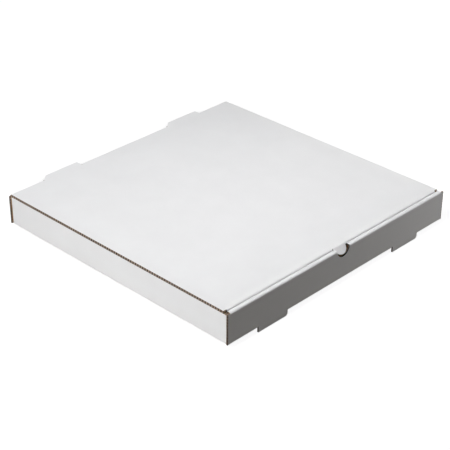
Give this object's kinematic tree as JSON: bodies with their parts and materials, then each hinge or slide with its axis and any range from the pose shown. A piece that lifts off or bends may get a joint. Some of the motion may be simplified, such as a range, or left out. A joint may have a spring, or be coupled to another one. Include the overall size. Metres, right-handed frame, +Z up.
{
  "type": "pizza box",
  "caption": "Shallow square folded box of white corrugated board with a hinged tuck-in lid, a rolled front wall with a thumb notch, and small feet, for carrying a pizza.",
  "frame": {"origin": "middle of the box's bounding rectangle, at the level of the tips of the two front feet", "axes": "+Z up out of the lid, -Y out of the rolled front wall with the thumb notch, +X to the right seen from the front"},
  "size_m": [0.328, 0.3262, 0.0401],
  "materials": {
    "white_board": "matt white-lined corrugated board with brown flutes at the raw edges"
  },
  "bodies": {
    "tray": {"tray": "white_board"},
    "lid": {"lid": "white_board"}
  },
  "joints": [
    {"name": "lid_hinge", "type": "hinge", "parent": "tray", "child": "lid", "pos_m": [0, 0.15685, 0.0401], "axis": [-1, 0, 0], "range_deg": [0, 180]}
  ]
}
